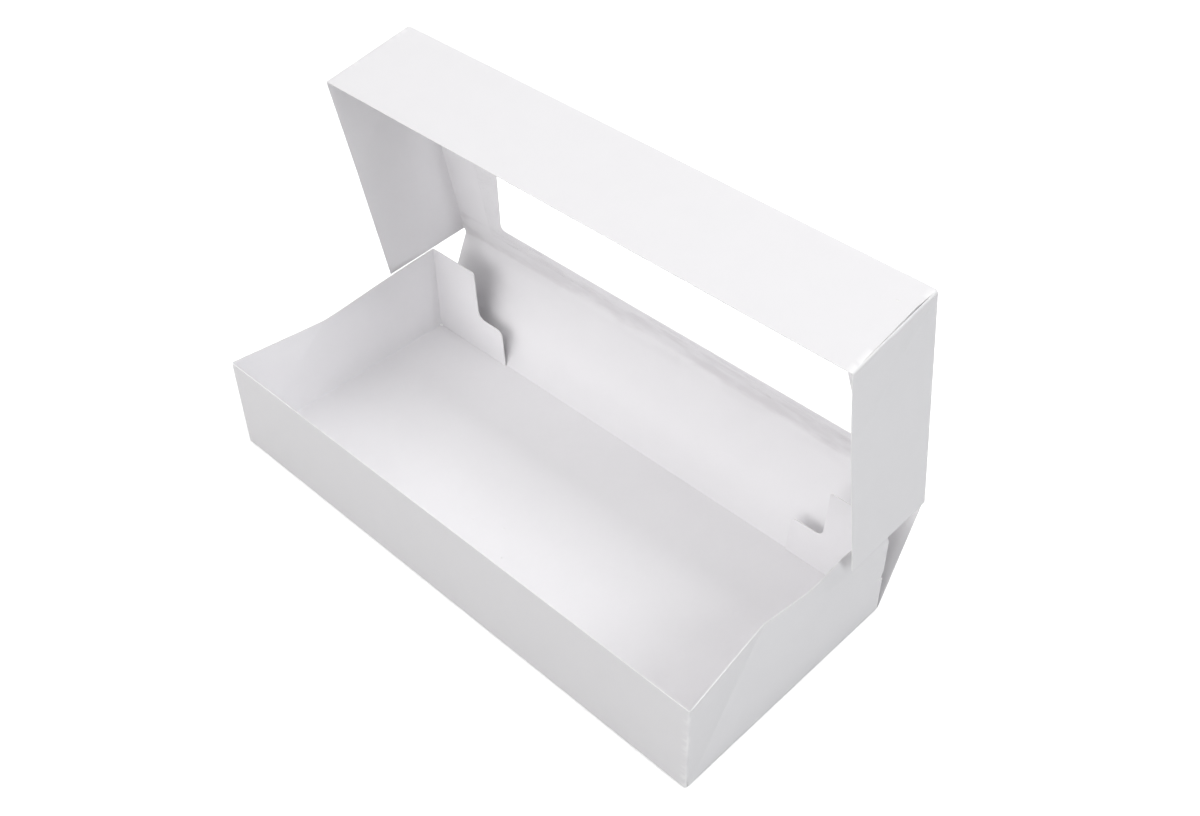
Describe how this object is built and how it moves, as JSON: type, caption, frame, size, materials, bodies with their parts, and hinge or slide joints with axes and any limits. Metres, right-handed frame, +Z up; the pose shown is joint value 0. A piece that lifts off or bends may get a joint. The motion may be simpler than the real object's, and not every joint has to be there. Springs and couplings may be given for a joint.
{
  "type": "bakery box",
  "caption": "Low folded white board box for cakes or pastries, with a leaning back wall and a hinged lid that has a large clear window.",
  "frame": {"origin": "centre of the underside of the tray floor", "axes": "+X along the length of the tray, +Y from the front wall to the back wall, +Z up"},
  "size_m": [0.4032, 0.2064, 0.2438],
  "materials": {
    "board": "smooth white clay-coated board, low satin sheen",
    "film": "thin clear glossy plastic film"
  },
  "bodies": {
    "tray": {"tray": "board"},
    "back_wall": {"back_wall": "board"},
    "lid": {"lid": "board", "window_film": "film"}
  },
  "joints": [
    {"name": "back_wall_fold", "type": "hinge", "parent": "tray", "child": "back_wall", "pos_m": [0, 0.0881, 0.0003], "axis": [1, 0, 0], "range_deg": [-24, 24]},
    {"name": "lid_hinge", "type": "hinge", "parent": "back_wall", "child": "lid", "pos_m": [0, 0.11861, 0.06882], "axis": [1, 0, 0], "range_deg": [-56, 56]}
  ],
  "couplings": [
    {"joint": "back_wall_fold", "follows": "lid_hinge", "ratio": 0.42857}
  ]
}
